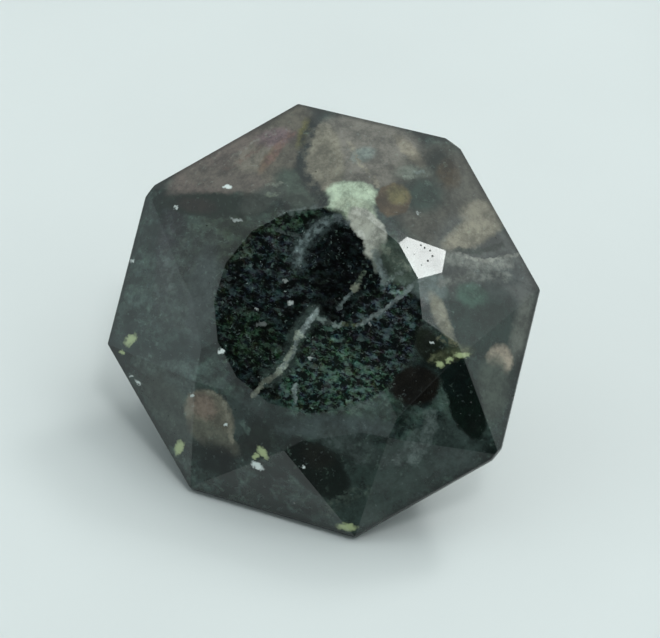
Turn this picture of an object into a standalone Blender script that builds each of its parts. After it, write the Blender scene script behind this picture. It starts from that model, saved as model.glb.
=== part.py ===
"""A faceted stone of glaucophane rock, lying on one facet of its pavilion.

The stone is cut the way a faceting machine cuts it: a rough block is held on its axis, and each
facet is one flat cut at an azimuth round that axis, at a tilt from the girdle's plane. It is cut
in millimetres with its axis upright and the girdle's upper edge at height zero. Then it is tipped
over until the facet that it rests on lies flat on the ground. Metres, +Z up.
"""

import math

import bmesh
import bpy
from mathutils import Matrix, Vector, geometry

METRES_PER_MM = 0.001

# Driving dimensions, in millimetres, with every tilt in degrees from the girdle's plane.
GIRDLE_THICKNESS = 0.3
CROWN_HEIGHT = 1.45
TABLE_REACH = 3.0
RING_FACET_TILT = 13.5
RESTING_FACET_TILT = 42.0
CULET_REACH = 0.1

# The girdle's eight sides, each as its azimuth in degrees and its reach from the axis in
# millimetres. The stone is cut by hand, so they are a little uneven.
GIRDLE_SIDES = (
    (3.0, 6.03),
    (45.5, 5.99),
    (92.5, 6.09),
    (136.0, 6.03),
    (183.0, 6.07),
    (227.0, 5.90),
    (270.0, 5.93),
    (316.0, 6.13),
)
SIDE_COUNT = len(GIRDLE_SIDES)
RESTING_SIDE = 6

# The crown's meet points, one over each side of the girdle, where the side facet, two corner
# facets and a star facet come together: the azimuth and the reach of each, all at one height.
MEET_POINTS = (
    (359.5, 4.40),
    (42.0, 4.13),
    (90.5, 4.20),
    (138.0, 4.20),
    (182.0, 4.20),
    (226.0, 4.15),
    (273.0, 4.20),
    (315.5, 4.25),
)
MEET_HEIGHT = 1.18

# Girdle corners that are worn flat, by the side that comes before each, and how much is gone.
WORN_CORNERS = {1: 0.12, 3: 0.10, 7: 0.10}

BLOCK_WIDTH = 15.0
BLOCK_HEIGHT = 14.0
MEET_TOLERANCE = 0.0001

STONE_COLOUR = (0.018, 0.027, 0.024, 1.0)
STONE_ROUGHNESS = 0.12
STONE_IOR = 1.64


def clear_scene():
    for item in list(bpy.data.objects):
        bpy.data.objects.remove(item, do_unlink=True)


def make_stone_material():
    material = bpy.data.materials.new("polished_glaucophane")
    material.use_nodes = True
    shader = material.node_tree.nodes["Principled BSDF"]
    shader.inputs["Base Color"].default_value = STONE_COLOUR
    shader.inputs["Roughness"].default_value = STONE_ROUGHNESS
    shader.inputs["Metallic"].default_value = 0.0
    shader.inputs["IOR"].default_value = STONE_IOR
    material.diffuse_color = STONE_COLOUR
    return material


def outward(azimuth, tilt=90.0):
    """The direction that a facet faces: straight up at no tilt, and sideways at 90 degrees."""
    turn = math.radians(azimuth)
    lean = math.radians(tilt)
    return Vector((
        math.cos(turn) * math.sin(lean),
        math.sin(turn) * math.sin(lean),
        math.cos(lean),
    ))


def cut_facet(block, normal, point):
    """Cuts away all that lies beyond one plane, and closes the cut with one flat facet."""
    everything = block.verts[:] + block.edges[:] + block.faces[:]
    cut = bmesh.ops.bisect_plane(
        block,
        geom=everything,
        dist=MEET_TOLERANCE,
        plane_co=point,
        plane_no=normal,
        clear_outer=True,
    )
    rim = [item for item in cut["geom_cut"] if isinstance(item, bmesh.types.BMEdge)]
    bmesh.ops.contextual_create(block, geom=rim)


def plane_through(first, second, third):
    """The facet that holds three points: the direction that it faces, and one point of it."""
    normal = (second - first).cross(third - first).normalized()
    if normal.dot(first) < 0.0:
        normal.negate()
    return normal, first


def side_point(side, height):
    """The middle of one side of the girdle, at a height on the axis."""
    azimuth, reach = GIRDLE_SIDES[side]
    return outward(azimuth) * reach + Vector((0.0, 0.0, height))


def corner_after(side):
    """The girdle corner between one side and the next, at height zero."""
    along = outward(GIRDLE_SIDES[side][0] + 90.0)
    following = (side + 1) % SIDE_COUNT
    following_along = outward(GIRDLE_SIDES[following][0] + 90.0)
    start = side_point(side, 0.0)
    following_start = side_point(following, 0.0)
    return geometry.intersect_line_line(
        start, start + along, following_start, following_start + following_along
    )[0]


def crown_meet(side):
    azimuth, reach = MEET_POINTS[side]
    return outward(azimuth) * reach + Vector((0.0, 0.0, MEET_HEIGHT))


def side_facet(side):
    """A triangle that stands on one side of the girdle."""
    return plane_through(corner_after(side - 1), corner_after(side), crown_meet(side))


def corner_facet(side):
    """A kite from one corner of the girdle up to the ring of facets round the table."""
    following = (side + 1) % SIDE_COUNT
    return plane_through(corner_after(side), crown_meet(side), crown_meet(following))


def star_facet(side):
    """A facet from the table's edge out to the meet point over one side of the girdle."""
    azimuth = side * 360.0 / SIDE_COUNT
    meet = crown_meet(side)
    run = meet.dot(outward(azimuth)) - TABLE_REACH
    tilt = math.degrees(math.atan2(CROWN_HEIGHT - MEET_HEIGHT, run))
    return outward(azimuth, tilt), meet


def ring_facet(side):
    """The small facet at the table's edge between two star facets, over a corner facet."""
    azimuth = (side + 0.5) * 360.0 / SIDE_COUNT
    table_edge = outward(azimuth) * TABLE_REACH + Vector((0.0, 0.0, CROWN_HEIGHT))
    return outward(azimuth, RING_FACET_TILT), table_edge


def pavilion_facet(side, culet):
    """A main facet, from the lower edge of one side of the girdle down to the culet."""
    azimuth, reach = GIRDLE_SIDES[side]
    depth = -GIRDLE_THICKNESS - culet.z
    tilt = math.degrees(math.atan2(depth, reach))
    return outward(azimuth, 180.0 - tilt), culet


def cut_girdle(block):
    for side, (azimuth, _) in enumerate(GIRDLE_SIDES):
        cut_facet(block, outward(azimuth), side_point(side, 0.0))


def cut_crown(block):
    for facet in (side_facet, corner_facet, star_facet, ring_facet):
        for side in range(SIDE_COUNT):
            cut_facet(block, *facet(side))
    cut_facet(block, outward(0.0, 0.0), Vector((0.0, 0.0, CROWN_HEIGHT)))


def cut_pavilion(block):
    resting_tilt = math.radians(RESTING_FACET_TILT)
    depth = GIRDLE_SIDES[RESTING_SIDE][1] * math.tan(resting_tilt)
    culet = Vector((0.0, 0.0, -GIRDLE_THICKNESS - depth))
    for side in range(SIDE_COUNT):
        cut_facet(block, *pavilion_facet(side, culet))
    culet_rise = CULET_REACH * math.tan(resting_tilt)
    cut_facet(block, outward(0.0, 180.0), culet + Vector((0.0, 0.0, culet_rise)))


def wear_corners(block):
    for side, loss in WORN_CORNERS.items():
        corner = corner_after(side)
        facing = corner.normalized()
        cut_facet(block, facing, corner - facing * loss)


def lay_on_resting_facet(block):
    """Tips the stone on to its resting facet, and centres it over the origin, in metres."""
    tip = Matrix.Rotation(math.radians(RESTING_FACET_TILT), 4, "X")
    block.transform(Matrix.Scale(METRES_PER_MM, 4) @ tip)
    middle = Vector((0.0, 0.0, 0.0))
    for axis in (0, 1):
        spread = [vert.co[axis] for vert in block.verts]
        middle[axis] = (min(spread) + max(spread)) / 2.0
    middle.z = min(vert.co.z for vert in block.verts)
    block.transform(Matrix.Translation(-middle))


def make_stone():
    block = bmesh.new()
    bmesh.ops.create_cube(block, size=1.0)
    block.transform(Matrix.Diagonal((BLOCK_WIDTH, BLOCK_WIDTH, BLOCK_HEIGHT, 1.0)))
    cut_girdle(block)
    cut_crown(block)
    cut_pavilion(block)
    wear_corners(block)
    lay_on_resting_facet(block)
    bmesh.ops.recalc_face_normals(block, faces=block.faces[:])
    mesh = bpy.data.meshes.new("faceted_stone")
    block.to_mesh(mesh)
    block.free()
    stone = bpy.data.objects.new("faceted_stone", mesh)
    mesh.materials.append(make_stone_material())
    bpy.context.scene.collection.objects.link(stone)


clear_scene()
make_stone()
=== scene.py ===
import math
import random

import bmesh
import bpy
from mathutils import Euler, Matrix, Vector


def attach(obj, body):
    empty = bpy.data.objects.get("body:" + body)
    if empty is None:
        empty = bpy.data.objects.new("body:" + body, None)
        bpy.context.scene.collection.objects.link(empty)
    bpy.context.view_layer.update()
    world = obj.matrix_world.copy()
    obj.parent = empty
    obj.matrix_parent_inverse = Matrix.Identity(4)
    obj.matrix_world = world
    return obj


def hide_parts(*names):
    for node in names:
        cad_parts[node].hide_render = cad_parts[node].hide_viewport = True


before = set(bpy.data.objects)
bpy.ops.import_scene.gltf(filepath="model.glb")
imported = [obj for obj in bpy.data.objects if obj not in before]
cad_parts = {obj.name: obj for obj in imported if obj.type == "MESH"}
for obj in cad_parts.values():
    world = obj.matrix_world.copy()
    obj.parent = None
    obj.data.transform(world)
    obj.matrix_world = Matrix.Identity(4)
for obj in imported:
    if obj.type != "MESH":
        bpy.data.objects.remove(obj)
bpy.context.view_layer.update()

MM = 0.001
NODE = "faceted_stone"
SLOT = "polished_glaucophane"

# The stone as it was cut: its axis leans by the tilt of the facet that it rests on, and the
# gem frame has u to the right and v up across the table, and w out along the axis, all in
# millimetres from the girdle's upper edge.
RESTING_TILT = 42.0
CROWN_HEIGHT = 1.45
GIRDLE_THICKNESS = 0.3

# The camera, as the stone lies in the picture: a long lens that looks down on the table.
IMAGE_WIDTH = 660
IMAGE_HEIGHT = 638
FOCAL_PIXELS = 3500.0
SENSOR_WIDTH = 36.0
CAMERA_AZIMUTH = 10.54
CAMERA_ELEVATION = 40.57
CAMERA_ROLL = 9.17
CAMERA_DISTANCE = 104.1 * MM
STONE_CENTRE = Vector((0.0398, 0.3629, 3.6102)) * MM
STONE_PIXEL = (326.6, 321.5)

# How far the polished edges are rounded, on the crown and pavilion and along the girdle, mm.
FACET_EDGE_ROUNDING = 0.018
GIRDLE_EDGE_ROUNDING = 0.035
GIRDLE_EDGE_ANGLE = 30.0
EDGE_SEGMENTS = 3

# Small nicks broken out of the girdle's edges, and pits in the polished facets, mm.
NICK_COUNT = 46
NICK_RADIUS = (0.07, 0.17)
NICK_BITE = 0.32
PIT_COUNT = 70
PIT_RADIUS = (0.025, 0.05)
PIT_BITE = 0.45

# Every crown facet faces within 60 degrees of the axis, so this is its normal's least share there.
CROWN_FACING = 0.5

# How far apart the nicks and pits keep, and how far above the ground, mm.
BREAK_GAP = 0.68
BREAK_LOWEST = 0.2

# The pits that show on the facet that catches the lamp, as their places across the table, mm.
BRIGHT_FACET_PITS = (
    (1.97, 2.50),
    (2.33, 2.68),
    (2.45, 2.64),
    (2.62, 2.62),
    (2.74, 2.48),
    (2.22, 2.36),
    (2.52, 2.12),
)


def axis_direction():
    lean = math.radians(RESTING_TILT)
    return Vector((0.0, -math.sin(lean), math.cos(lean)))


def gem_rotation():
    """Turns the gem frame's u, v and w into the row frame's x, y and z."""
    return Matrix.Rotation(math.radians(RESTING_TILT), 4, "X")


def find_gem_origin(mesh):
    """The point of the stone's axis at the girdle's upper edge, found from the table's rim."""
    axis = axis_direction()
    heights = [(axis.dot(vert.co), vert.co) for vert in mesh.vertices]
    at_top = max(height for height, _ in heights) - 0.01 * MM
    rim = {tuple(round(part, 8) for part in co) for height, co in heights if height > at_top}
    middle = sum((Vector(point) for point in rim), Vector()) / len(rim)
    return middle - axis * CROWN_HEIGHT * MM


GEM_ORIGIN = find_gem_origin(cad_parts[NODE].data)
GEM_TO_ROW = Matrix.Translation(GEM_ORIGIN) @ gem_rotation() @ Matrix.Scale(MM, 4)


def direction(azimuth, elevation):
    """The direction from the stone towards an azimuth and an elevation, as the camera's is given."""
    turn = math.radians(azimuth)
    rise = math.radians(elevation)
    return Vector((
        math.sin(turn) * math.cos(rise),
        -math.cos(turn) * math.cos(rise),
        math.sin(rise),
    ))


def add_camera():
    back = direction(CAMERA_AZIMUTH, CAMERA_ELEVATION)
    turn = math.radians(CAMERA_AZIMUTH)
    level_right = Vector((math.cos(turn), math.sin(turn), 0.0))
    level_up = back.cross(level_right)
    roll = math.radians(CAMERA_ROLL)
    right = math.cos(roll) * level_right + math.sin(roll) * level_up
    up = back.cross(right)
    aside = (IMAGE_WIDTH / 2.0 - STONE_PIXEL[0]) / FOCAL_PIXELS * CAMERA_DISTANCE
    below = (IMAGE_HEIGHT / 2.0 - STONE_PIXEL[1]) / FOCAL_PIXELS * CAMERA_DISTANCE
    place = STONE_CENTRE + back * CAMERA_DISTANCE + right * aside - up * below
    data = bpy.data.cameras.new("camera")
    data.sensor_width = SENSOR_WIDTH
    data.lens = FOCAL_PIXELS / IMAGE_WIDTH * SENSOR_WIDTH
    data.clip_start = 1.0 * MM
    data.clip_end = 10.0
    camera = bpy.data.objects.new("camera", data)
    turned = Matrix((right, up, back)).transposed().to_4x4()
    camera.matrix_world = Matrix.Translation(place) @ turned
    bpy.context.scene.collection.objects.link(camera)
    bpy.context.scene.camera = camera


# The stone's shape.


def merged_stone():
    """A copy of the stone in which each facet is one face again."""
    shape = bmesh.new()
    shape.from_mesh(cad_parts[NODE].data)
    bmesh.ops.remove_doubles(shape, verts=shape.verts[:], dist=0.0005 * MM)
    bmesh.ops.dissolve_limit(
        shape, angle_limit=math.radians(0.3), verts=shape.verts[:], edges=shape.edges[:]
    )
    return shape


def applied(thing):
    """The mesh that an object's modifiers make."""
    graph = bpy.context.evaluated_depsgraph_get()
    return bpy.data.meshes.new_from_object(thing.evaluated_get(graph))


def round_the_edges(shape, chance):
    """Rounds every edge a little and unevenly, and the girdle's edges more."""
    weights = shape.edges.layers.float.new("bevel_weight_edge")
    crown_share = FACET_EDGE_ROUNDING / GIRDLE_EDGE_ROUNDING
    for edge in shape.edges:
        sharp = edge.calc_face_angle() > math.radians(GIRDLE_EDGE_ANGLE)
        share = 1.0 if sharp else crown_share
        edge[weights] = share * chance.uniform(0.7, 1.0)
    mesh = bpy.data.meshes.new("cut_stone")
    shape.to_mesh(mesh)
    thing = bpy.data.objects.new("cut_stone", mesh)
    bpy.context.scene.collection.objects.link(thing)
    bevel = thing.modifiers.new("rounding", "BEVEL")
    bevel.limit_method = "WEIGHT"
    bevel.width = GIRDLE_EDGE_ROUNDING * MM
    bevel.segments = EDGE_SEGMENTS
    rounded = applied(thing)
    bpy.data.objects.remove(thing, do_unlink=True)
    return rounded


def lump(chance, place, radius):
    """One small uneven lump, as a piece to take out of the stone."""
    shape = bmesh.new()
    bmesh.ops.create_icosphere(shape, subdivisions=1, radius=radius * MM)
    for vert in shape.verts:
        vert.co *= chance.uniform(0.8, 1.15)
    stretch = Matrix.Diagonal((chance.uniform(0.8, 1.6), 1.0, 1.0, 1.0))
    turn = Euler([chance.uniform(0.0, math.tau) for _ in range(3)]).to_matrix().to_4x4()
    shape.transform(Matrix.Translation(place) @ turn @ stretch)
    return shape


def far_from(place, others):
    return all((place - other).length > BREAK_GAP * MM for other in others)


def add_nicks(shape, lumps, places, chance):
    """Lumps that stand along the girdle's edges, each biting a little way into one."""
    sharp = [e for e in shape.edges if e.calc_face_angle() > math.radians(GIRDLE_EDGE_ANGLE)]
    sharp.sort(key=lambda e: tuple(round(part, 7) for part in (e.verts[0].co + e.verts[1].co)))
    lengths = [edge.calc_length() for edge in sharp]
    while len(places) < NICK_COUNT:
        edge = chance.choices(sharp, weights=lengths)[0]
        radius = chance.uniform(*NICK_RADIUS)
        outward = (edge.link_faces[0].normal + edge.link_faces[1].normal).normalized()
        on_edge = edge.verts[0].co.lerp(edge.verts[1].co, chance.uniform(0.04, 0.96))
        place = on_edge + outward * radius * (1.0 - NICK_BITE) * MM
        if on_edge.z > BREAK_LOWEST * MM and far_from(place, places):
            places.append(place)
            lumps.append(lump(chance, place, radius))


def crown_spot(shape, across, up):
    """The spot of the crown at a place across the table, and the way that its facet faces."""
    start = GEM_TO_ROW @ Vector((across, up, 0.0))
    axis = axis_direction()
    lowest = None
    for face in shape.faces:
        share = face.normal.dot(axis)
        if share > CROWN_FACING:
            rise = (face.verts[0].co - start).dot(face.normal) / share
            if lowest is None or rise < lowest[0]:
                lowest = (rise, face.normal.copy())
    rise, normal = lowest
    return start + axis * rise, normal


def add_pits(shape, lumps, places, chance):
    """Lumps that dip into the facets, where grains fell out in the polishing."""
    for across, up in BRIGHT_FACET_PITS:
        spot, normal = crown_spot(shape, across, up)
        radius = chance.uniform(*PIT_RADIUS)
        lumps.append(lump(chance, spot + normal * radius * (1.0 - PIT_BITE) * MM, radius))
    faces = sorted(shape.faces, key=lambda f: tuple(round(part, 7) for part in f.calc_center_median()))
    areas = [face.calc_area() for face in faces]
    wanted = len(places) + PIT_COUNT
    while len(places) < wanted:
        face = chance.choices(faces, weights=areas)[0]
        corners = [vert.co for vert in face.verts]
        shares = [chance.random() for _ in corners]
        spot = sum((co * share for co, share in zip(corners, shares)), Vector()) / sum(shares)
        radius = chance.uniform(*PIT_RADIUS)
        place = spot + face.normal * radius * (1.0 - PIT_BITE) * MM
        if spot.z > BREAK_LOWEST * MM and far_from(place, places):
            places.append(place)
            lumps.append(lump(chance, place, radius))


def make_stone_mesh():
    chance = random.Random(7)
    shape = merged_stone()
    lumps = []
    places = []
    add_nicks(shape, lumps, places, chance)
    add_pits(shape, lumps, places, chance)
    rounded = round_the_edges(shape, chance)
    shape.free()
    together = bmesh.new()
    for one in lumps:
        mesh = bpy.data.meshes.new("lump")
        one.to_mesh(mesh)
        one.free()
        together.from_mesh(mesh)
        bpy.data.meshes.remove(mesh)
    mesh = bpy.data.meshes.new("lumps")
    together.to_mesh(mesh)
    together.free()
    breaker = bpy.data.objects.new("lumps", mesh)
    bpy.context.scene.collection.objects.link(breaker)
    whole = bpy.data.objects.new("whole", rounded)
    bpy.context.scene.collection.objects.link(whole)
    cut = whole.modifiers.new("breaks", "BOOLEAN")
    cut.operation = "DIFFERENCE"
    cut.solver = "EXACT"
    cut.object = breaker
    worn = applied(whole)
    bpy.data.objects.remove(whole, do_unlink=True)
    bpy.data.objects.remove(breaker, do_unlink=True)
    for polygon in worn.polygons:
        polygon.use_smooth = False
    return worn


# What the stone's polished finish is made with.


def add_node(tree, kind, inputs=None, **settings):
    node = tree.nodes.new(kind)
    for name, value in settings.items():
        setattr(node, name, value)
    for key, value in (inputs or {}).items():
        if isinstance(value, bpy.types.NodeSocket):
            tree.links.new(value, node.inputs[key])
        else:
            node.inputs[key].default_value = value
    return node


def maths(tree, operation, *values):
    return add_node(tree, "ShaderNodeMath", dict(enumerate(values)), operation=operation).outputs[0]


def vector_maths(tree, operation, *values):
    node = add_node(tree, "ShaderNodeVectorMath", dict(enumerate(values)), operation=operation)
    return node.outputs["Value" if operation in ("LENGTH", "DOT_PRODUCT") else "Vector"]


def blend(tree, mask, below, above, kind="MIX", label=""):
    below = below if isinstance(below, bpy.types.NodeSocket) else (*below, 1.0)
    above = above if isinstance(above, bpy.types.NodeSocket) else (*above, 1.0)
    inputs = {0: mask, 6: below, 7: above}
    mix = add_node(tree, "ShaderNodeMix", inputs, data_type="RGBA", blend_type=kind, label=label)
    return mix.outputs[2]


def grey(tree, value):
    """A value as a shade of grey, to darken or lighten a colour with."""
    return add_node(tree, "ShaderNodeCombineColor", {0: value, 1: value, 2: value}).outputs[0]


def ramp(tree, value, start, end, low=0.0, high=1.0):
    """A smooth step, which stays within its own ends."""
    inputs = {"Value": value, "From Min": start, "From Max": end, "To Min": low, "To Max": high}
    node = add_node(tree, "ShaderNodeMapRange", inputs, interpolation_type="SMOOTHSTEP", clamp=False)
    return node.outputs["Result"]


def noise(tree, place, scale, detail=3.0, roughness=0.55):
    """Cloudy noise, with so many clouds to a unit of the place."""
    inputs = {"Vector": place, "Scale": scale, "Detail": detail, "Roughness": roughness}
    return add_node(tree, "ShaderNodeTexNoise", inputs).outputs


# The bodies of rock in the stone, from the first laid to the last: a name, its colour, the
# middle (u, v) of it, its half length and half breadth, its turn in degrees, the softness of its
# edge as a share of its size, and how much of it shows. The clouds are tints of the dark rock,
# which break up into small crystals with it, and the patches are other rock, apart from a few
# that are painted reflection: the pale veil of the surroundings on the left and front facets,
# laid on as colour. Each of them is an ellipsoid about the height PATCH_HEIGHT above the girdle,
# and reaches PATCH_DEPTH up and down.
PATCH_HEIGHT = 0.75
PATCH_DEPTH = 2.4
CLOUDS = (
    ("dark_heart", (0.0050, 0.0085, 0.0084), (0.0, 0.0), (3.15, 3.1), 0.0, 0.04, 1.0),
    ("heart_blue", (0.016, 0.023, 0.023), (-1.6, 1.0), (1.2, 1.15), 0.0, 0.6, 0.9),
    ("heart_left", (0.009, 0.014, 0.014), (-2.2, -0.2), (0.9, 0.9), 0.0, 0.6, 0.7),
    ("heart_top", (0.014, 0.024, 0.016), (-1.6, 2.3), (0.8, 0.35), 25.0, 0.6, 0.9),
    ("heart_green", (0.030, 0.050, 0.040), (1.15, -1.75), (1.85, 1.4), 10.0, 0.35, 1.0),
    ("heart_green_left", (0.014, 0.025, 0.016), (-1.6, -1.35), (0.9, 0.6), -30.0, 0.5, 0.9),
    ("heart_right", (0.022, 0.032, 0.032), (2.05, 0.0), (1.1, 1.0), -30.0, 0.45, 0.9),
    ("heart_teal", (0.052, 0.074, 0.070), (1.95, 1.3), (0.42, 0.32), -20.0, 0.5, 1.0),
    ("heart_black", (0.0026, 0.0040, 0.0042), (0.15, 1.45), (0.75, 1.1), 10.0, 0.4, 0.9),
    ("heart_black_low", (0.0030, 0.0040, 0.0040), (0.35, 0.1), (0.5, 0.28), -10.0, 0.5, 0.9),
    ("left_olive", (0.020, 0.028, 0.018), (-3.4, 1.4), (0.9, 1.0), -30.0, 0.5, 0.9),
    ("left_violet", (0.028, 0.028, 0.032), (-4.85, 0.6), (0.35, 1.3), 12.0, 0.6, 0.8),
    # Painted reflection: the pale veil of the surroundings on the left facets, laid on as colour, not rock.
    ("left_painted_reflection", (0.030, 0.038, 0.034), (-3.9, -0.3), (0.9, 1.5), 10.0, 0.5, 0.8),
    ("left_shadow", (0.006, 0.012, 0.010), (-3.9, -2.15), (1.35, 0.42), 12.0, 0.5, 0.9),
)
PATCHES = (
    ("brown_field", (0.094, 0.074, 0.064), (-3.75, 4.0), (2.45, 1.15), 45.0, 0.12, 1.0),
    ("brown_field_top", (0.084, 0.074, 0.058), (-2.75, 4.4), (0.8, 1.75), -10.0, 0.16, 1.0),
    ("brown_field_foot", (0.086, 0.071, 0.060), (-3.9, 3.1), (1.4, 0.38), 2.0, 0.25, 1.0),
    ("brown_light", (0.140, 0.122, 0.098), (-3.3, 3.95), (0.60, 0.36), 40.0, 0.6, 0.9),
    ("orange_streak", (0.112, 0.068, 0.044), (-2.8, 4.15), (0.12, 0.5), -15.0, 0.8, 0.8),
    ("pink_streak", (0.120, 0.076, 0.088), (-2.9, 4.75), (0.5, 0.26), 20.0, 0.6, 0.8),
    ("yellow_spot", (0.110, 0.100, 0.026), (-2.1, 5.1), (0.14, 0.42), 0.0, 0.6, 0.9),
    ("green_corner", (0.034, 0.050, 0.038), (-1.75, 3.3), (0.75, 0.42), -35.0, 0.3, 1.0),
    ("beige_field", (0.120, 0.110, 0.094), (-0.15, 5.1), (1.72, 1.2), 0.0, 0.14, 1.0),
    ("beige_field_left", (0.158, 0.144, 0.110), (-1.2, 4.3), (0.6, 1.35), 22.0, 0.14, 1.0),
    ("ice_spot", (0.150, 0.185, 0.170), (-0.15, 4.9), (0.32, 0.2), 40.0, 0.6, 0.8),
    ("upper_right_field", (0.062, 0.060, 0.049), (2.55, 4.3), (1.5, 1.75), 30.0, 0.2, 1.0),
    ("slate_spot", (0.012, 0.018, 0.014), (2.1, 5.25), (0.55, 0.36), -50.0, 0.4, 0.95),
    ("umber_spot", (0.050, 0.034, 0.018), (2.4, 5.1), (0.3, 0.42), 20.0, 0.5, 0.8),
    ("moss_spot", (0.014, 0.030, 0.024), (1.85, 4.2), (0.55, 0.5), 20.0, 0.5, 0.9),
    ("mint_spot", (0.120, 0.138, 0.115), (1.42, 4.82), (0.38, 0.16), 20.0, 0.8, 0.8),
    ("right_field", (0.062, 0.067, 0.064), (4.3, 2.6), (1.75, 1.25), -40.0, 0.2, 1.0),
    ("right_slate", (0.028, 0.036, 0.036), (4.75, 2.75), (0.55, 0.4), 0.0, 0.5, 0.8),
    ("beige_patch", (0.190, 0.174, 0.132), (3.66, 3.66), (1.02, 0.38), 52.0, 0.30, 1.0),
    ("right_dark", (0.022, 0.032, 0.030), (4.95, 1.9), (0.75, 0.35), -20.0, 0.4, 0.9),
    ("beige_patch_top", (0.160, 0.146, 0.112), (3.75, 4.30), (0.62, 0.36), 20.0, 0.45, 0.9),
    ("pale_point", (0.205, 0.180, 0.135), (1.05, 5.45), (0.50, 0.15), -32.0, 0.7, 0.8),
    ("green_band", (0.370, 0.440, 0.330), (-0.08, 3.46), (0.84, 0.52), 16.0, 0.14, 1.0),
    ("green_band_foot", (0.310, 0.355, 0.265), (0.15, 3.15), (0.66, 0.34), 0.0, 0.2, 1.0),
    ("brown_spot", (0.064, 0.044, 0.026), (1.12, 3.78), (0.52, 0.52), 0.0, 0.10, 1.0),
    ("yellow_heart", (0.108, 0.092, 0.040), (1.2, 3.98), (0.3, 0.26), 0.0, 0.5, 1.0),
    ("pale_grain", (0.330, 0.328, 0.285), (0.66, 2.80), (0.72, 0.38), -24.0, 0.12, 1.0),
    ("pale_grain_foot", (0.330, 0.330, 0.290), (1.04, 2.38), (0.36, 0.54), 8.0, 0.14, 1.0),
    ("pale_grain_point", (0.150, 0.165, 0.145), (1.22, 1.85), (0.14, 0.34), 20.0, 0.3, 0.9),
    ("grain_light", (0.420, 0.420, 0.380), (0.55, 2.50), (0.18, 0.10), -25.0, 0.4, 1.0),
    ("grey_shoulder", (0.095, 0.122, 0.116), (2.85, 1.6), (0.5, 0.42), -20.0, 0.4, 0.9),
    ("mottled_shoulder", (0.062, 0.080, 0.066), (1.9, 2.0), (0.75, 0.5), -35.0, 0.4, 1.0),
    ("right_kite", (0.012, 0.024, 0.020), (4.6, 1.0), (1.2, 0.85), 10.0, 0.25, 0.95),
    ("right_edge", (0.092, 0.098, 0.084), (5.75, 1.3), (0.24, 0.9), 0.0, 0.5, 0.85),
    ("right_green", (0.040, 0.085, 0.064), (4.1, 1.75), (0.38, 0.3), 0.0, 0.5, 0.9),
    ("pink_patch", (0.262, 0.222, 0.172), (5.42, 0.22), (0.34, 0.40), 20.0, 0.25, 1.0),
    ("right_rim", (0.040, 0.052, 0.042), (5.45, -0.65), (0.42, 0.85), 12.0, 0.35, 1.0),
    ("yellow_strip", (0.170, 0.162, 0.118), (3.50, 0.84), (0.70, 0.19), -48.0, 0.35, 0.95),
    # Painted reflection: the next six patches are the pale veil of the surroundings on the front facets,
    # laid on as colour; the third is partly the rock's own grey-green as well.
    ("front_right_painted_reflection", (0.030, 0.044, 0.040), (4.6, -2.75), (1.2, 0.7), 35.0, 0.3, 1.0),
    ("ring_painted_reflection", (0.034, 0.048, 0.047), (1.35, -3.15), (1.5, 0.3), 16.0, 0.5, 1.0),
    ("front_painted_reflection", (0.022, 0.036, 0.031), (3.0, -4.4), (1.7, 0.85), 42.0, 0.35, 1.0),
    ("front_left_painted_reflection", (0.022, 0.034, 0.031), (-1.0, -3.5), (1.1, 0.5), 15.0, 0.4, 1.0),
    ("kite_painted_reflection", (0.036, 0.050, 0.046), (2.1, -3.5), (0.95, 0.3), -8.0, 0.5, 0.9),
    ("left_front_painted_reflection", (0.034, 0.046, 0.038), (-3.6, -3.7), (1.3, 0.5), -40.0, 0.5, 0.9),
    ("dark_kite", (0.002, 0.006, 0.004), (4.72, -1.15), (1.35, 0.48), -54.0, 0.10, 1.0),
    ("dark_kite_top", (0.002, 0.006, 0.005), (4.35, -0.75), (0.6, 0.42), -60.0, 0.14, 1.0),
    ("dark_brown", (0.0050, 0.0042, 0.0030), (3.35, -1.32), (0.72, 0.56), 30.0, 0.12, 1.0),
    ("dark_olive", (0.005, 0.008, 0.004), (3.42, -0.1), (0.62, 0.36), -45.0, 0.25, 1.0),
    ("dark_lens", (0.005, 0.010, 0.006), (-3.95, 2.2), (1.65, 0.38), 8.0, 0.2, 1.0),
    ("lens_umber", (0.018, 0.012, 0.010), (-4.5, 2.1), (0.5, 0.2), 0.0, 0.6, 0.8),
    ("dark_front", (0.003, 0.007, 0.005), (1.25, -4.4), (1.12, 0.6), -22.0, 0.14, 1.0),
    ("umber_front", (0.011, 0.010, 0.007), (1.2, -4.05), (0.4, 0.3), 0.0, 0.6, 0.5),
    ("brown_pebble", (0.118, 0.110, 0.082), (-2.22, -3.82), (0.84, 0.64), -25.0, 0.12, 1.0),
    ("brown_pebble_foot", (0.082, 0.082, 0.062), (-1.95, -4.38), (0.85, 0.30), -15.0, 0.25, 1.0),
    ("pebble_pink", (0.150, 0.108, 0.085), (-2.45, -3.60), (0.36, 0.26), -20.0, 0.6, 0.8),
    ("left_table_edge", (0.036, 0.046, 0.045), (-3.45, -0.4), (0.33, 1.3), 8.0, 0.5, 0.9),
    ("corner_table_edge", (0.036, 0.043, 0.036), (-2.55, 2.75), (0.65, 0.3), 45.0, 0.5, 0.9),
    ("top_table_edge", (0.050, 0.064, 0.052), (-1.3, 3.1), (0.6, 0.18), 20.0, 0.5, 0.9),
    ("yellow_cloud", (0.075, 0.086, 0.042), (4.12, -0.10), (0.40, 0.17), 32.0, 0.9, 0.55),
    ("dark_foot", (0.004, 0.007, 0.006), (-1.7, -4.95), (0.75, 0.42), -10.0, 0.4, 0.9),
    ("dark_foot_right", (0.005, 0.009, 0.006), (-0.6, -4.1), (0.45, 0.5), 0.0, 0.5, 0.85),
)

# Where a vein starts to fade and where it is gone, as shares of its width from its middle.
VEIN_EDGE = (0.10, 0.80)

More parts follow.
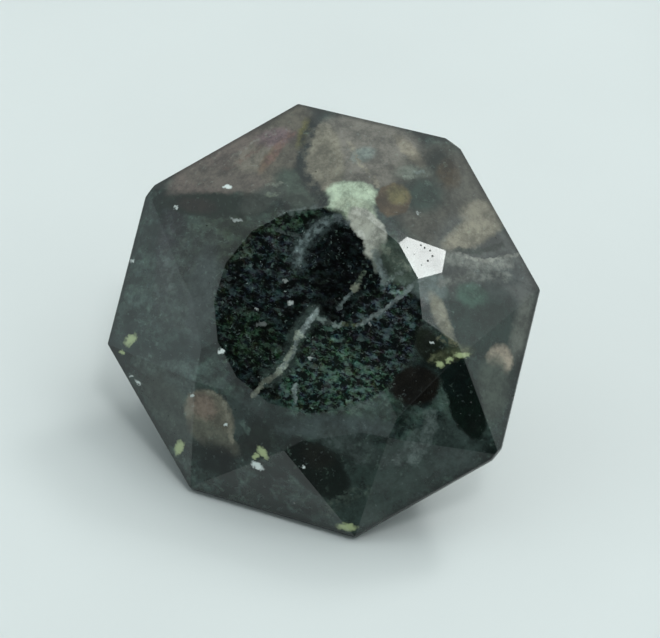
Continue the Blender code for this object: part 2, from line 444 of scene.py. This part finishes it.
# Pale veins in the table and streaks across the crown: a name, the colour, the width, how far
# it is broken up along its way, and the points that it runs through, in millimetres.
VEINS = (
    ("main_halo", (0.040, 0.055, 0.050), 0.42, 0.6,
     ((-0.1, -0.1), (-0.35, -0.85), (-0.42, -1.8), (-0.75, -2.3))),
    ("main_vein", (0.285, 0.335, 0.330), 0.125, 0.6,
     ((0.0, 0.0), (-0.15, -0.38), (-0.28, -0.85), (-0.34, -1.35), (-0.46, -1.8), (-0.64, -2.15))),
    ("vein_knots", (0.300, 0.335, 0.275), 0.16, 1.3,
     ((-0.27, -0.78), (-0.30, -0.95), (-0.46, -1.75), (-0.6, -2.1))),
    ("main_vein_tail", (0.140, 0.148, 0.120), 0.11, 0.4, ((-0.64, -2.15), (-0.9, -2.45), (-1.08, -2.95))),
    ("cross_vein", (0.150, 0.185, 0.172), 0.12, 0.8,
     ((0.0, -0.2), (0.35, -0.28), (0.7, -0.3), (0.85, -0.2))),
    ("cross_vein_thin", (0.055, 0.062, 0.030), 0.10, 0.8, ((0.85, -0.2), (1.05, -0.12), (1.25, -0.12))),
    ("right_vein", (0.145, 0.172, 0.168), 0.105, 0.6,
     ((1.25, -0.12), (1.55, 0.2), (1.85, 0.6), (2.15, 0.98), (2.4, 1.4), (2.65, 1.75))),
    ("middle_vein", (0.140, 0.172, 0.172), 0.095, 0.7,
     ((0.55, 0.18), (0.62, 0.4), (0.78, 0.75), (0.86, 0.95))),
    ("middle_vein_fork", (0.085, 0.105, 0.080), 0.11, 0.9, ((0.86, 0.95), (0.88, 1.25), (0.98, 1.45))),
    ("middle_knot", (0.230, 0.242, 0.185), 0.15, 0.3, ((0.85, 0.93), (0.88, 1.02))),
    ("left_halo", (0.030, 0.040, 0.040), 0.45, 0.8, ((-0.3, 2.75), (-0.8, 2.2), (-1.05, 1.5), (-0.9, 1.1))),
    ("left_vein", (0.120, 0.150, 0.152), 0.22, 0.8,
     ((-0.25, 2.8), (-0.6, 2.5), (-0.85, 2.15), (-1.0, 1.75), (-1.05, 1.42), (-0.98, 1.15))),
    ("left_vein_branch", (0.050, 0.062, 0.060), 0.10, 1.0, ((-2.1, 2.02), (-1.6, 1.95), (-1.1, 1.92))),
    ("rim_vein", (0.075, 0.095, 0.090), 0.16, 1.0, ((-1.9, 2.42), (-1.4, 2.68), (-0.8, 2.98))),
    ("top_vein", (0.085, 0.100, 0.105), 0.2, 0.8, ((-0.3, 2.75), (0.05, 2.75))),
    ("border_vein", (0.165, 0.198, 0.195), 0.2, 0.7, ((1.1, 2.1), (1.35, 1.8), (1.55, 1.5), (1.65, 1.32))),
    ("shoulder_line", (0.120, 0.145, 0.132), 0.12, 0.9, ((1.6, 1.35), (1.95, 1.7), (2.3, 2.05))),
    ("shoulder_streak", (0.130, 0.150, 0.120), 0.16, 1.0, ((1.3, 2.3), (1.75, 2.1), (2.2, 1.9))),
    ("yellow_streak", (0.090, 0.098, 0.056), 0.22, 1.1, ((3.62, -0.42), (4.0, -0.18), (4.42, 0.04))),
    ("yellow_streak_top", (0.140, 0.140, 0.090), 0.18, 1.1, ((3.7, 0.25), (4.1, 0.2))),
    ("white_streak", (0.230, 0.275, 0.270), 0.10, 0.6, ((0.02, -2.3), (0.12, -2.68))),
    ("low_rim_streak", (0.060, 0.085, 0.075), 0.16, 1.0, ((1.2, -2.62), (1.7, -2.48), (2.15, -2.2))),
    ("dark_band", (0.005, 0.010, 0.010), 0.31, 0.35,
     ((-1.92, 5.7), (-1.95, 4.9), (-1.92, 4.3), (-1.7, 3.85), (-1.2, 3.45), (-0.78, 3.12))),
    ("beige_edge", (0.024, 0.032, 0.026), 0.16, 0.3, ((3.35, 2.85), (3.85, 3.05), (4.5, 3.5))),
    ("red_streak", (0.124, 0.072, 0.060), 0.20, 0.9, ((-2.42, 5.05), (-2.62, 4.55), (-2.78, 4.0))),
    ("red_streak_low", (0.112, 0.078, 0.064), 0.16, 1.0, ((-3.2, 4.5), (-3.5, 3.9), (-4.0, 3.4))),
    ("field_streak", (0.150, 0.138, 0.118), 0.12, 1.1, ((-3.0, 4.9), (-3.5, 4.45), (-4.1, 3.8))),
    ("beige_streak", (0.175, 0.158, 0.122), 0.14, 1.0, ((-0.7, 5.2), (-0.1, 4.55), (0.55, 4.1))),
    ("corner_streak", (0.120, 0.135, 0.110), 0.12, 1.0, ((-2.55, 3.15), (-2.15, 3.35))),
    ("corner_streak_low", (0.100, 0.120, 0.090), 0.10, 1.0, ((-2.5, 2.85), (-2.1, 3.0))),
    ("pebble_rim", (0.150, 0.142, 0.108), 0.11, 0.9,
     ((-2.4, -3.2), (-2.05, -3.22), (-1.78, -3.45), (-1.6, -3.85), (-1.38, -4.35))),
    ("kite_streak", (0.080, 0.102, 0.096), 0.30, 0.6,
     ((3.98, -1.95), (4.10, -2.3), (4.02, -2.8), (3.85, -3.3))),
    ("kite_streak_side", (0.060, 0.080, 0.074), 0.22, 0.6, ((3.75, -2.6), (3.62, -3.1), (3.45, -3.5))),
    ("left_streak", (0.050, 0.072, 0.063), 0.28, 0.8,
     ((-4.8, -2.85), (-4.2, -2.95), (-3.75, -2.7), (-3.3, -2.65))),
    ("left_streak_low", (0.040, 0.058, 0.052), 0.3, 0.8, ((-3.7, -3.1), (-3.0, -3.15))),
    ("front_mottle", (0.046, 0.064, 0.052), 0.30, 1.2, ((1.75, -5.45), (2.2, -5.0), (2.75, -4.6))),
    ("front_mottle_top", (0.050, 0.066, 0.062), 0.28, 1.1, ((1.45, -3.55), (1.95, -3.5), (2.45, -3.75))),
    ("front_streak", (0.060, 0.090, 0.078), 0.12, 0.5, ((-1.2, -3.75), (-0.95, -3.98))),
    ("right_fibre", (0.170, 0.178, 0.160), 0.30, 0.5, ((3.15, 2.55), (3.7, 2.62), (4.2, 2.72), (4.8, 3.0))),
    ("right_fibre_thin", (0.210, 0.214, 0.190), 0.10, 0.8,
     ((3.3, 2.75), (3.9, 2.80), (4.4, 3.0), (5.1, 3.45))),
    ("right_fibre_low", (0.110, 0.118, 0.106), 0.24, 0.9,
     ((3.2, 1.75), (3.6, 2.15), (4.2, 2.4), (4.9, 2.6))),
    ("top_streak", (0.200, 0.230, 0.190), 0.1, 0.6, ((1.2, 4.58), (1.42, 4.66))),
    ("top_streak_high", (0.180, 0.220, 0.200), 0.1, 0.6, ((1.45, 4.82), (1.68, 4.9))),
)

# Small grains and painted glints: first the yellow-green grains, then the glints with the
# brightness of each. The glints are painted highlights, bright spots of colour where light
# catches small pits and crystals. The rest is as for the patches: the middle, the half length
# and half breadth, and the turn.
YELLOW_GREEN = (0.37, 0.43, 0.23)
YELLOW_GRAINS = (
    ("left", (-5.25, -2.25), (0.18, 0.11), 55.0),
    ("left_low", (-5.42, -2.66), (0.08, 0.05), 0.0),
    ("left_foot", (-2.92, -4.9), (0.17, 0.11), 80.0),
    ("front", (-0.38, -4.40), (0.19, 0.08), -35.0),
    ("front_low", (-0.58, -4.56), (0.10, 0.06), 30.0),
    ("front_corner", (2.5, -5.73), (0.24, 0.09), 10.0),
    ("right", (3.86, -0.52), (0.11, 0.08), 0.0),
    ("right_middle", (4.08, -0.30), (0.10, 0.05), 40.0),
    ("right_upper", (4.38, -0.06), (0.19, 0.06), 20.0),
)
# Painted highlights: bright spots of colour where light catches small pits and crystals.
PAINTED_GLINTS = (
    ("brown_field", 0.75, (-3.75, 2.85), (0.111, 0.06), 10.0),
    ("lens", 0.50, (-5.1, 1.9), (0.051, 0.043), 0.0),
    ("lens_right", 0.32, (-3.1, 1.92), (0.136, 0.043), 6.0),
    ("left_edge", 0.60, (-5.98, 0.05), (0.06, 0.043), 0.0),
    ("left_corner", 0.50, (-4.95, -3.24), (0.043, 0.038), 0.0),
    ("left_corner_long", 0.60, (-4.68, -3.38), (0.102, 0.043), -25.0),
    ("table_rim", 0.75, (-2.37, -1.95), (0.076, 0.047), 10.0),
    ("pebble_left", 0.55, (-2.88, -3.37), (0.06, 0.043), 20.0),
    ("pebble_right", 0.65, (-1.68, -3.93), (0.051, 0.038), 0.0),
    ("front", 0.75, (-0.45, -4.8), (0.162, 0.076), -8.0),
    ("dark_front", 0.70, (0.87, -4.47), (0.047, 0.043), 20.0),
    ("right", 0.50, (3.46, 0.03), (0.047, 0.043), 0.0),
    ("upper", 0.30, (1.95, 3.6), (0.043, 0.038), 0.0),
    ("table_a", 0.42, (-0.83, -0.01), (0.068, 0.051), 5.0),
    ("table_b", 0.24, (-1.15, 0.58), (0.068, 0.038), 15.0),
    ("table_c", 0.30, (-1.74, -0.47), (0.068, 0.043), 10.0),
    ("table_d", 0.42, (0.19, -1.42), (0.076, 0.043), 8.0),
    ("table_e", 0.24, (1.55, 0.05), (0.043, 0.043), 0.0),
    ("table_f", 0.12, (-1.45, -0.85), (0.111, 0.051), 20.0),
)
PAINTED_GLINT_TINT = (0.93, 1.0, 0.98)
GRAIN_AND_GLINT_SOFTNESS = 0.6

# The dark rock's two shades, and the brown and beige bodies in the pavilion. Those set in below
# the girdle, between the two heights of LOW_BODY_TOP, mm.
DARK_ROCK = ((0.0045, 0.0095, 0.0080), (0.028, 0.044, 0.038))
LOW_BROWN = (0.080, 0.066, 0.052)
LOW_BEIGE = (0.130, 0.128, 0.100)
LOW_BODY_TOP = (-0.2, -1.0)

# The small crystals: how close they stand along u, v and w, how far each colour goes its own way,
# and the darkest and the lightest as a share of the rock's colour. The mottling that lies over all
# the rock has such shares too.
CRYSTAL_CLOSENESS = (0.75, 1.15, 1.0)
CRYSTAL_COLOURING = 0.08
CRYSTAL_SHADES = (0.15, 2.9)
MOTTLE_SHADES = (0.58, 1.42)

# Off the table the rock is hazier, and its crystals and specks show less. The change lies between
# the two distances of TABLE_RIM from the axis, mm.
TABLE_RIM = (2.9, 3.3)
CRYSTALS_OFF_TABLE = 0.3
SPECKS_OFF_TABLE = 0.5

# Specks of paler mineral: a name, the tint that they add, how many there are to a millimetre, and
# the noise above which they start, so that a higher one makes them rarer.
HAZE_CLOTS = ("haze_clots", (0.014, 0.021, 0.018), 1.7, 0.50)
GREEN_SPECKS = ("green_specks", (0.030, 0.046, 0.036), 4.0, 0.60)
BLUE_SPECKS = ("blue_specks", (0.036, 0.044, 0.046), 8.0, 0.60)
WHITE_SPECKS = ("white_specks", (0.200, 0.235, 0.225), 6.5, 0.68)
SPECK_EDGE = 0.12

# The surface: the roughness of its polish from the smoothest to the most worn, how much rougher
# the girdle is and how soon that ends, how far the painted shade along the girdle reaches from it
# and what share of the colour it leaves, and how deep the facets' waves are. Lengths are in mm.
STONE_IOR = 1.64
POLISH = (0.07, 0.16)
GIRDLE_ROUGHNESS = 0.35
GIRDLE_BORDER = 0.01
PAINTED_GIRDLE_SHADE_REACH = 0.12
PAINTED_GIRDLE_SHADE_LEFT = 0.4
WAVE_HEIGHT = 0.012


def new_group(name, inputs):
    """A shader node group that turns its inputs into one mask."""
    group = bpy.data.node_groups.new(name, "ShaderNodeTree")
    for title, kind in inputs.items():
        group.interface.new_socket(name=title, in_out="INPUT", socket_type=kind)
    group.interface.new_socket(name="Mask", in_out="OUTPUT", socket_type="NodeSocketFloat")
    return group, group.nodes.new("NodeGroupInput").outputs, group.nodes.new("NodeGroupOutput").inputs


def make_patch_group():
    """A rounded patch: full in the middle of its turned ellipsoid, and gone outside it."""
    inputs = dict.fromkeys(("Place", "Middle", "Along", "Across", "Deep"), "NodeSocketVector")
    inputs.update(dict.fromkeys(("Gone", "Full"), "NodeSocketFloat"))
    group, given, result = new_group("patch_shape", inputs)
    away = vector_maths(group, "SUBTRACT", given["Place"], given["Middle"])
    square = 0.0
    for way in ("Along", "Across", "Deep"):
        share = vector_maths(group, "DOT_PRODUCT", away, given[way])
        square = maths(group, "MULTIPLY_ADD", share, share, square)
    group.links.new(ramp(group, square, given["Gone"], given["Full"]), result["Mask"])
    return group


def make_vein_group():
    """A straight piece of a vein, which runs down through the stone as a sheet."""
    inputs = dict.fromkeys(("Place", "Middle", "Along", "Across"), "NodeSocketVector")
    inputs.update(dict.fromkeys(("Half Length", "Gone", "Full"), "NodeSocketFloat"))
    group, given, result = new_group("vein_shape", inputs)
    away = vector_maths(group, "SUBTRACT", given["Place"], given["Middle"])
    along = maths(group, "ABSOLUTE", vector_maths(group, "DOT_PRODUCT", away, given["Along"]))
    across = vector_maths(group, "DOT_PRODUCT", away, given["Across"])
    past_end = maths(group, "MAXIMUM", maths(group, "SUBTRACT", along, given["Half Length"]), 0.0)
    square = maths(group, "MULTIPLY", past_end, past_end)
    square = maths(group, "MULTIPLY_ADD", across, across, square)
    group.links.new(ramp(group, square, given["Gone"], given["Full"]), result["Mask"])
    return group


def patch_mask(tree, place, middle, size, turn, softness):
    cosine = math.cos(math.radians(turn))
    sine = math.sin(math.radians(turn))
    inputs = {
        "Place": place,
        "Middle": (*middle, PATCH_HEIGHT),
        "Along": (cosine / size[0], sine / size[0], 0.0),
        "Across": (-sine / size[1], cosine / size[1], 0.0),
        "Deep": (0.0, 0.0, 1.0 / PATCH_DEPTH),
        "Gone": (1.0 + softness) ** 2,
        "Full": (1.0 - softness) ** 2,
    }
    return add_node(tree, "ShaderNodeGroup", inputs, node_tree=PATCH_GROUP).outputs["Mask"]


def vein_mask(tree, place, start, end, width):
    run = Vector(end) - Vector(start)
    way = run.normalized()
    inner, outer = VEIN_EDGE
    inputs = {
        "Place": place,
        "Middle": (*((Vector(start) + Vector(end)) / 2.0), 0.0),
        "Along": (way.x, way.y, 0.0),
        "Across": (-way.y, way.x, 0.0),
        "Half Length": run.length / 2.0,
        "Gone": (outer * width) ** 2,
        "Full": (inner * width) ** 2,
    }
    return add_node(tree, "ShaderNodeGroup", inputs, node_tree=VEIN_GROUP).outputs["Mask"]


PATCH_GROUP = make_patch_group()
VEIN_GROUP = make_vein_group()


def gem_place(tree):
    """The gem frame's coordinates, in millimetres, from the object's own."""
    place = tree.nodes.new("ShaderNodeTexCoord").outputs["Object"]
    back = GEM_TO_ROW.inverted()
    return add_node(
        tree,
        "ShaderNodeMapping",
        {
            "Vector": place,
            "Location": back.to_translation(),
            "Rotation": back.to_euler(),
            "Scale": (1.0 / MM, 1.0 / MM, 1.0 / MM),
        },
    ).outputs[0]


def shifted(tree, place, scale, amount, detail=2.0, read_at=None):
    """Moves a place about by a cloudy noise, so that what is laid there has a natural edge."""
    cloud = noise(tree, read_at or place, scale, detail)["Color"]
    centred = vector_maths(tree, "SUBTRACT", cloud, (0.5, 0.5, 0.5))
    scaled = vector_maths(tree, "MULTIPLY", centred, (2.0 * amount, 2.0 * amount, 0.0))
    return vector_maths(tree, "ADD", place, scaled)


def dark_rock(tree, place):
    """The body of the stone: green-black and clouded."""
    cloud = noise(tree, place, 1.1, 6.0, 0.7)["Fac"]
    return blend(tree, ramp(tree, cloud, 0.38, 0.64), *DARK_ROCK)


def add_low_bodies(tree, place, colour, low):
    """Bodies of brown and beige rock in the pavilion, below the girdle."""
    spread = noise(tree, place, 0.34, 2.0, 0.5)["Color"]
    parts = add_node(tree, "ShaderNodeSeparateColor", {"Color": spread}).outputs
    brown = maths(tree, "MULTIPLY", ramp(tree, parts[0], 0.52, 0.56), low)
    colour = blend(tree, brown, colour, LOW_BROWN)
    beige = maths(tree, "MULTIPLY", ramp(tree, parts[1], 0.57, 0.60), low)
    return blend(tree, beige, colour, LOW_BEIGE)


def broken_into_crystals(tree, place, colour, share):
    """Breaks the dark rock up into small crystals of black, green and blue."""
    along_the_grain = vector_maths(tree, "MULTIPLY", place, CRYSTAL_CLOSENESS)
    whole = noise(tree, along_the_grain, 3.4, 3.0, 0.85)["Fac"]
    spread = noise(tree, place, 4.6, 1.0, 0.7)["Color"]
    parts = add_node(tree, "ShaderNodeSeparateColor", {"Color": spread}).outputs
    common = 1.0 - CRYSTAL_COLOURING
    shades = {}
    for channel in range(3):
        shared = maths(tree, "MULTIPLY", whole, common)
        own = maths(tree, "MULTIPLY_ADD", parts[channel], CRYSTAL_COLOURING, shared)
        shades[channel] = ramp(tree, own, 0.44, 0.66, *CRYSTAL_SHADES)
    crystals = add_node(tree, "ShaderNodeCombineColor", shades).outputs[0]
    return blend(tree, share, colour, crystals, "MULTIPLY")


def add_specks(tree, place, colour, specks, strength):
    """Small uneven specks of paler mineral."""
    name, tint, per_mm, rarity = specks
    spots = noise(tree, place, per_mm, 2.0, 0.75)["Fac"]
    mask = maths(tree, "MULTIPLY", ramp(tree, spots, rarity, rarity + SPECK_EDGE), strength)
    return blend(tree, mask, colour, tint, "ADD", name)


def lay_patches(tree, patches, place, colour):
    for name, tint, middle, size, turn, softness, strength in patches:
        mask = patch_mask(tree, place, middle, size, turn, softness)
        colour = blend(tree, maths(tree, "MULTIPLY", mask, strength), colour, tint, label=name)
    return colour


def lay_veins(tree, place, gaps, colour):
    for name, tint, width, broken, points in VEINS:
        whole = None
        for start, end in zip(points, points[1:]):
            piece = vein_mask(tree, place, start, end, width)
            whole = piece if whole is None else maths(tree, "MAXIMUM", whole, piece)
        breakable = maths(tree, "MULTIPLY", whole, broken)
        mask = maths(tree, "MULTIPLY_ADD", breakable, gaps, whole)
        colour = blend(tree, mask, colour, tint, label=name)
    return colour


# Lays the yellow-green grains, then the painted highlights of the glints.
def lay_grains_and_painted_glints(tree, place, colour):
    grains_and_glints = [(name, YELLOW_GREEN, *shape) for name, *shape in YELLOW_GRAINS]
    for name, bright, *shape in PAINTED_GLINTS:
        grains_and_glints.append((name, [bright * part for part in PAINTED_GLINT_TINT], *shape))
    for name, tint, middle, size, turn in grains_and_glints:
        mask = patch_mask(tree, place, middle, size, turn, GRAIN_AND_GLINT_SOFTNESS)
        colour = blend(tree, mask, colour, tint, label=name)
    return colour


def make_rock_colour(tree, place, height):
    """The rock, laid from the inside out: dark rock, other bodies and some painted reflection, veins,
    specks, grains and painted glints.
    """
    nearby = shifted(tree, place, 6.0, 0.08, 2.0)
    wandering = shifted(tree, nearby, 1.3, 0.11, 2.0)
    close = shifted(tree, place, 8.0, 0.10, 1.0, read_at=wandering)
    ragged = shifted(tree, wandering, 9.0, 0.06, 1.0)
    cloudy = noise(tree, place, 0.9, 2.0, 0.6)["Fac"]
    gaps = ramp(tree, noise(tree, place, 5.0, 2.0, 0.7)["Fac"], 0.36, 0.60, -1.0, 0.0)
    mottle = noise(tree, place, 1.6, 4.0, 0.8)["Fac"]
    shading = grey(tree, ramp(tree, mottle, 0.33, 0.67, *MOTTLE_SHADES))
    from_axis = vector_maths(tree, "LENGTH", vector_maths(tree, "MULTIPLY", nearby, (1.0, 1.0, 0.0)))
    colour = lay_patches(tree, CLOUDS, wandering, dark_rock(tree, place))
    clear = ramp(tree, from_axis, *TABLE_RIM, 1.0, CRYSTALS_OFF_TABLE)
    colour = broken_into_crystals(tree, nearby, colour, clear)
    colour = add_low_bodies(tree, nearby, colour, ramp(tree, height, *LOW_BODY_TOP))
    hazy = ramp(tree, from_axis, *TABLE_RIM, 0.0, 1.0)
    colour = add_specks(tree, wandering, colour, HAZE_CLOTS, hazy)
    colour = lay_patches(tree, PATCHES, wandering, colour)
    colour = lay_veins(tree, ragged, gaps, colour)
    colour = blend(tree, 1.0, colour, shading, "MULTIPLY")
    sparkle = ramp(tree, from_axis, *TABLE_RIM, 1.0, SPECKS_OFF_TABLE)
    speckled = maths(tree, "MULTIPLY", sparkle, ramp(tree, cloudy, 0.36, 0.62, 0.3, 1.5))
    colour = add_specks(tree, nearby, colour, GREEN_SPECKS, speckled)
    colour = add_specks(tree, nearby, colour, BLUE_SPECKS, speckled)
    colour = add_specks(tree, place, colour, WHITE_SPECKS, clear)
    return lay_grains_and_painted_glints(tree, close, colour)


def make_stone_material():
    material = bpy.data.materials.new(SLOT)
    material.use_nodes = True
    tree = material.node_tree
    place = gem_place(tree)
    height = add_node(tree, "ShaderNodeSeparateXYZ", {"Vector": place}).outputs["Z"]
    colour = make_rock_colour(tree, place, height)
    half_girdle = 0.5 * GIRDLE_THICKNESS
    from_girdle = maths(tree, "ABSOLUTE", maths(tree, "ADD", height, half_girdle))
    # Painted shade: the colour darkens towards the girdle's edge, all round the stone.
    painted_girdle_shade = ramp(tree, from_girdle, half_girdle, half_girdle + PAINTED_GIRDLE_SHADE_REACH, PAINTED_GIRDLE_SHADE_LEFT, 1.0)
    colour = blend(tree, 1.0, colour, grey(tree, painted_girdle_shade), "MULTIPLY", "painted_girdle_shade")
    shader = tree.nodes["Principled BSDF"]
    tree.links.new(colour, shader.inputs["Base Color"])
    shader.inputs["IOR"].default_value = STONE_IOR
    wear = noise(tree, place, 2.0, 3.0, 0.6)["Fac"]
    polish = ramp(tree, wear, 0.35, 0.75, *POLISH)
    outside = half_girdle + GIRDLE_BORDER
    inside = half_girdle - GIRDLE_BORDER
    matte = ramp(tree, from_girdle, outside, inside, 0.0, GIRDLE_ROUGHNESS)
    tree.links.new(maths(tree, "ADD", polish, matte), shader.inputs["Roughness"])
    wave = noise(tree, place, 0.5, 1.0)["Fac"]
    bump = add_node(tree, "ShaderNodeBump", {"Height": wave, "Strength": 1.0, "Distance": WAVE_HEIGHT * MM})
    tree.links.new(bump.outputs[0], shader.inputs["Normal"])
    return material


def add_stone():
    mesh = make_stone_mesh()
    mesh.materials.clear()
    mesh.materials.append(make_stone_material())
    stone = bpy.data.objects.new("stone", mesh)
    bpy.context.scene.collection.objects.link(stone)
    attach(stone, "root")
    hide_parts(NODE)


FLOOR_COLOUR = (0.61, 0.63, 0.635)
FLOOR_CLOUDING = 0.02
FLOOR_ROUGHNESS = 0.65
FLOOR_WIDTH = 0.9


def add_floor():
    bpy.ops.mesh.primitive_plane_add(size=FLOOR_WIDTH)
    floor = bpy.context.object
    floor.name = "floor"
    material = bpy.data.materials.new("pale_floor")
    material.use_nodes = True
    tree = material.node_tree
    shader = tree.nodes["Principled BSDF"]
    place = tree.nodes.new("ShaderNodeTexCoord").outputs["Object"]
    cloud = noise(tree, place, 60.0, 3.0)["Fac"]
    lighter = [(1.0 + FLOOR_CLOUDING) * part for part in FLOOR_COLOUR]
    darker = [(1.0 - FLOOR_CLOUDING) * part for part in FLOOR_COLOUR]
    colour = blend(tree, ramp(tree, cloud, 0.3, 0.7), darker, lighter)
    tree.links.new(colour, shader.inputs["Base Color"])
    shader.inputs["Roughness"].default_value = FLOOR_ROUGHNESS
    floor.data.materials.append(material)


# The soft surroundings, as glows and shades about a direction: a name, the azimuth, the elevation,
# the angle from it within which they are full, and the angle at which they are gone. Last comes
# the light that a glow adds, or the share of the light that a shade leaves.
BASE_LIGHT = (0.50, 0.58, 0.58)
GLOWS = (
    ("back_wall", 165.0, 50.0, 20.0, 75.0, (0.35, 0.36, 0.35)),
    ("right_wall", 95.0, 40.0, 15.0, 40.0, (0.14, 0.15, 0.14)),
    ("window", 160.0, 50.0, 8.0, 20.0, (3.4, 3.6, 3.5)),
    ("low_window", 166.0, 40.5, 2.5, 6.0, (25.0, 26.5, 26.0)),
    ("left_wall", -62.0, 20.0, 12.0, 30.0, (0.38, 0.49, 0.49)),
    ("lamp", 34.0, 71.0, 5.5, 7.5, (11.5, 12.0, 11.8)),
    ("lamp_halo", 34.0, 71.0, 9.0, 18.0, (0.40, 0.45, 0.45)),
)
SHADES = (
    ("front_shade", 10.0, 0.0, 20.0, 50.0, 0.52),
    ("camera_shade", -14.6, 54.6, 12.0, 20.5, 0.04),
    ("camera_shade_right", 23.0, 47.0, 6.0, 12.0, 0.12),
    ("low_shade", 10.0, 10.0, 5.0, 15.0, 0.4),
    ("low_left_shade", -25.0, 5.0, 5.0, 15.0, 0.85),
    ("right_shade", 40.0, 26.0, 5.0, 15.0, 0.09),
)


def add_world():
    world = bpy.data.worlds.new("studio")
    bpy.context.scene.world = world
    world.use_nodes = True
    tree = world.node_tree
    background = tree.nodes["Background"]
    place = tree.nodes.new("ShaderNodeTexCoord").outputs["Generated"]
    light = add_node(tree, "ShaderNodeRGB").outputs[0]
    light.default_value = (*BASE_LIGHT, 1.0)

    def blob(azimuth, elevation, full, gone):
        near = vector_maths(tree, "DOT_PRODUCT", place, direction(azimuth, elevation))
        return ramp(tree, near, math.cos(math.radians(gone)), math.cos(math.radians(full)))

    for name, azimuth, elevation, full, gone, glow in GLOWS:
        light = blend(tree, blob(azimuth, elevation, full, gone), light, glow, "ADD", name)
    for name, azimuth, elevation, full, gone, left in SHADES:
        light = blend(tree, blob(azimuth, elevation, full, gone), light, [left] * 3, "MULTIPLY", name)
    tree.links.new(light, background.inputs["Color"])


add_camera()
add_stone()
add_floor()
add_world()
bpy.context.scene.view_settings.view_transform = "Standard"
